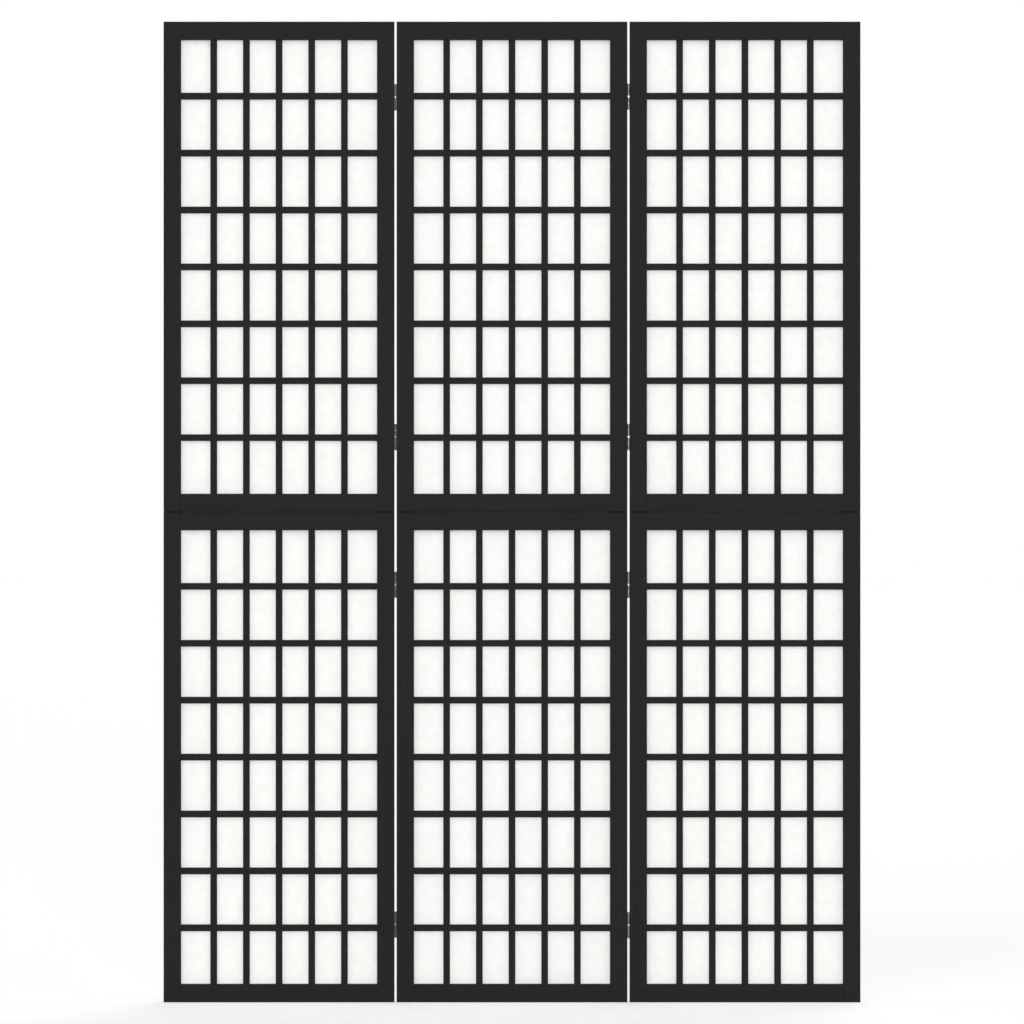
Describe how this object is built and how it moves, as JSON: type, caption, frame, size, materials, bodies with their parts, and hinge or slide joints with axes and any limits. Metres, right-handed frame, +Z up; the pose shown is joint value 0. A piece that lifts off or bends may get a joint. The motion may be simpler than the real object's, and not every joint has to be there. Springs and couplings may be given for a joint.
{
  "type": "shoji folding screen",
  "caption": "Free-standing folding room divider of hinged black wooden panels, each with stacked lattice sections backed by white paper.",
  "frame": {"origin": "on the floor, midway between the outer edges and midway between front and back, under the middle panel", "axes": "+X to the right seen from the front, +Y to the back, +Z up; the panels stand in one plane, facing -Y"},
  "size_m": [1.208, 0.0266, 1.7],
  "materials": {
    "frame_wood": "matte",
    "lattice_wood": "matte",
    "paper": "matte",
    "hinge_steel": "satin"
  },
  "bodies": {
    "left_panel": {"left_lower_left_stile": "frame_wood", "left_lower_right_stile": "frame_wood", "left_lower_bottom_rail": "frame_wood", "left_lower_top_rail": "frame_wood", "left_lower_lattice": "lattice_wood", "left_lower_paper": "paper", "left_upper_left_stile": "frame_wood", "left_upper_right_stile": "frame_wood", "left_upper_bottom_rail": "frame_wood", "left_upper_top_rail": "frame_wood", "left_upper_lattice": "lattice_wood", "left_upper_paper": "paper", "left_hinge_1_left_leaf": "hinge_steel", "left_hinge_2_left_leaf": "hinge_steel", "left_hinge_3_left_leaf": "hinge_steel", "left_hinge_4_left_leaf": "hinge_steel"},
    "middle_panel": {"middle_lower_left_stile": "frame_wood", "middle_lower_right_stile": "frame_wood", "middle_lower_bottom_rail": "frame_wood", "middle_lower_top_rail": "frame_wood", "middle_lower_lattice": "lattice_wood", "middle_lower_paper": "paper", "middle_upper_left_stile": "frame_wood", "middle_upper_right_stile": "frame_wood", "middle_upper_bottom_rail": "frame_wood", "middle_upper_top_rail": "frame_wood", "middle_upper_lattice": "lattice_wood", "middle_upper_paper": "paper", "left_hinge_1_middle_leaf": "hinge_steel", "left_hinge_1_pin": "hinge_steel", "left_hinge_2_middle_leaf": "hinge_steel", "left_hinge_2_pin": "hinge_steel", "left_hinge_3_middle_leaf": "hinge_steel", "left_hinge_3_pin": "hinge_steel", "left_hinge_4_middle_leaf": "hinge_steel", "left_hinge_4_pin": "hinge_steel", "right_hinge_1_middle_leaf": "hinge_steel", "right_hinge_1_pin": "hinge_steel", "right_hinge_2_middle_leaf": "hinge_steel", "right_hinge_2_pin": "hinge_steel", "right_hinge_3_middle_leaf": "hinge_steel", "right_hinge_3_pin": "hinge_steel", "right_hinge_4_middle_leaf": "hinge_steel", "right_hinge_4_pin": "hinge_steel"},
    "right_panel": {"right_lower_left_stile": "frame_wood", "right_lower_right_stile": "frame_wood", "right_lower_bottom_rail": "frame_wood", "right_lower_top_rail": "frame_wood", "right_lower_lattice": "lattice_wood", "right_lower_paper": "paper", "right_upper_left_stile": "frame_wood", "right_upper_right_stile": "frame_wood", "right_upper_bottom_rail": "frame_wood", "right_upper_top_rail": "frame_wood", "right_upper_lattice": "lattice_wood", "right_upper_paper": "paper", "right_hinge_1_right_leaf": "hinge_steel", "right_hinge_2_right_leaf": "hinge_steel", "right_hinge_3_right_leaf": "hinge_steel", "right_hinge_4_right_leaf": "hinge_steel"}
  },
  "joints": [
    {"name": "left_panel_fold", "type": "hinge", "parent": "middle_panel", "child": "left_panel", "pos_m": [-0.202, 0.0113, 0], "axis": [0, 0, -1], "range_deg": [-5, 180]},
    {"name": "right_panel_fold", "type": "hinge", "parent": "middle_panel", "child": "right_panel", "pos_m": [0.202, -0.0113, 0], "axis": [0, 0, -1], "range_deg": [-5, 180]}
  ]
}
